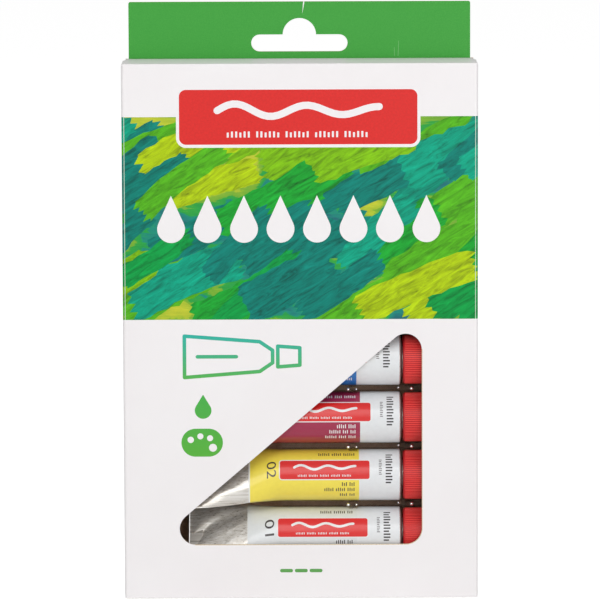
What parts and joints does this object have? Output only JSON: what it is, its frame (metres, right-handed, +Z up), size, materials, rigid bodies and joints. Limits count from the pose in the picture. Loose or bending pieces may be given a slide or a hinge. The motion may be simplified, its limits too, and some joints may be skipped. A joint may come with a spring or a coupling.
{
  "type": "gouache paint set in a windowed hanging carton",
  "caption": "Slim upright carton with a hang header and three-cornered window, holding gouache tubes in a clear formed tray",
  "frame": {"origin": "middle of the foot of the box, on the surface it stands on", "axes": "+Z up, printed front faces -Y, +X to the viewer's right"},
  "size_m": [0.11, 0.02, 0.1847],
  "materials": {
    "board_printed": "satin",
    "board_plain": "matte",
    "tray_clear": "gloss",
    "tube_aluminium": "satin",
    "cap_red": "satin",
    "paint_white": "matte",
    "paint_yellow": "matte",
    "paint_crimson": "matte",
    "paint_blue": "matte",
    "paint_green": "matte",
    "paint_ochre": "matte",
    "paint_brown": "matte",
    "paint_black": "matte"
  },
  "bodies": {
    "carton": {"carton_sleeve": "board_printed", "header_front_ply": "board_printed", "tray": "tray_clear", "tube_1_body": "tube_aluminium", "tube_1_paint": "paint_white", "tube_2_body": "tube_aluminium", "tube_2_paint": "paint_yellow", "tube_3_body": "tube_aluminium", "tube_3_paint": "paint_crimson", "tube_4_body": "tube_aluminium", "tube_4_paint": "paint_blue", "tube_5_body": "tube_aluminium", "tube_5_paint": "paint_green", "tube_6_body": "tube_aluminium", "tube_6_paint": "paint_ochre", "tube_7_body": "tube_aluminium", "tube_7_paint": "paint_brown", "tube_8_body": "tube_aluminium", "tube_8_paint": "paint_black"},
    "top_lid": {"top_lid": "board_printed"},
    "bottom_lid": {"bottom_lid": "board_printed"},
    "top_tuck_flap": {"top_tuck_flap": "board_plain"},
    "top_dust_flap_left": {"top_dust_flap_left": "board_plain"},
    "top_dust_flap_right": {"top_dust_flap_right": "board_plain"},
    "bottom_tuck_flap": {"bottom_tuck_flap": "board_plain"},
    "bottom_dust_flap_left": {"bottom_dust_flap_left": "board_plain"},
    "bottom_dust_flap_right": {"bottom_dust_flap_right": "board_plain"},
    "tube_1_cap": {"tube_1_cap": "cap_red"},
    "tube_2_cap": {"tube_2_cap": "cap_red"},
    "tube_3_cap": {"tube_3_cap": "cap_red"},
    "tube_4_cap": {"tube_4_cap": "cap_red"},
    "tube_5_cap": {"tube_5_cap": "cap_red"},
    "tube_6_cap": {"tube_6_cap": "cap_red"},
    "tube_7_cap": {"tube_7_cap": "cap_red"},
    "tube_8_cap": {"tube_8_cap": "cap_red"}
  },
  "joints": [
    {"name": "top_lid_fold", "type": "hinge", "parent": "carton", "child": "top_lid", "pos_m": [0, 0.0087, 0.16675], "axis": [-1, 0, 0], "range_deg": [0, 80]},
    {"name": "top_tuck_fold", "type": "hinge", "parent": "top_lid", "child": "top_tuck_flap", "pos_m": [0, -0.00916, 0.1662], "axis": [1, 0, 0], "range_deg": [0, 35]},
    {"name": "top_dust_left_fold", "type": "hinge", "parent": "carton", "child": "top_dust_flap_left", "pos_m": [-0.0542, 0, 0.16615], "axis": [0, -1, 0], "range_deg": [0, 20.1]},
    {"name": "top_dust_right_fold", "type": "hinge", "parent": "carton", "child": "top_dust_flap_right", "pos_m": [0.0542, 0, 0.16615], "axis": [0, 1, 0], "range_deg": [0, 20.1]},
    {"name": "bottom_lid_fold", "type": "hinge", "parent": "carton", "child": "bottom_lid", "pos_m": [0, 0.0092, 0.0005], "axis": [1, 0, 0], "range_deg": [0, 80]},
    {"name": "bottom_tuck_fold", "type": "hinge", "parent": "bottom_lid", "child": "bottom_tuck_flap", "pos_m": [0, -0.00916, 0.00105], "axis": [-1, 0, 0], "range_deg": [0, 35]},
    {"name": "bottom_dust_left_fold", "type": "hinge", "parent": "carton", "child": "bottom_dust_flap_left", "pos_m": [-0.0542, 0, 0.0011], "axis": [0, 1, 0], "range_deg": [0, 20.1]},
    {"name": "bottom_dust_right_fold", "type": "hinge", "parent": "carton", "child": "bottom_dust_flap_right", "pos_m": [0.0542, 0, 0.0011], "axis": [0, -1, 0], "range_deg": [0, 20.1]},
    {"name": "tube_1_cap_turn", "type": "hinge", "parent": "carton", "child": "tube_1_cap", "pos_m": [0.0388, -0.0009, 0.0191], "axis": [1, 0, 0], "range_deg": [0, 720]},
    {"name": "tube_2_cap_turn", "type": "hinge", "parent": "carton", "child": "tube_2_cap", "pos_m": [0.0388, -0.0009, 0.0373], "axis": [1, 0, 0], "range_deg": [0, 720]},
    {"name": "tube_3_cap_turn", "type": "hinge", "parent": "carton", "child": "tube_3_cap", "pos_m": [0.0388, -0.0009, 0.0555], "axis": [1, 0, 0], "range_deg": [0, 720]},
    {"name": "tube_4_cap_turn", "type": "hinge", "parent": "carton", "child": "tube_4_cap", "pos_m": [0.0388, -0.0009, 0.0737], "axis": [1, 0, 0], "range_deg": [0, 720]},
    {"name": "tube_5_cap_turn", "type": "hinge", "parent": "carton", "child": "tube_5_cap", "pos_m": [0.0388, -0.0009, 0.0919], "axis": [1, 0, 0], "range_deg": [0, 720]},
    {"name": "tube_6_cap_turn", "type": "hinge", "parent": "carton", "child": "tube_6_cap", "pos_m": [0.0388, -0.0009, 0.1101], "axis": [1, 0, 0], "range_deg": [0, 720]},
    {"name": "tube_7_cap_turn", "type": "hinge", "parent": "carton", "child": "tube_7_cap", "pos_m": [0.0388, -0.0009, 0.1283], "axis": [1, 0, 0], "range_deg": [0, 720]},
    {"name": "tube_8_cap_turn", "type": "hinge", "parent": "carton", "child": "tube_8_cap", "pos_m": [0.0388, -0.0009, 0.1465], "axis": [1, 0, 0], "range_deg": [0, 720]}
  ],
  "couplings": [
    {"joint": "top_dust_left_fold", "follows": "top_lid_fold", "ratio": 0.25},
    {"joint": "top_dust_right_fold", "follows": "top_lid_fold", "ratio": 0.25},
    {"joint": "bottom_dust_left_fold", "follows": "bottom_lid_fold", "ratio": 0.25},
    {"joint": "bottom_dust_right_fold", "follows": "bottom_lid_fold", "ratio": 0.25}
  ]
}
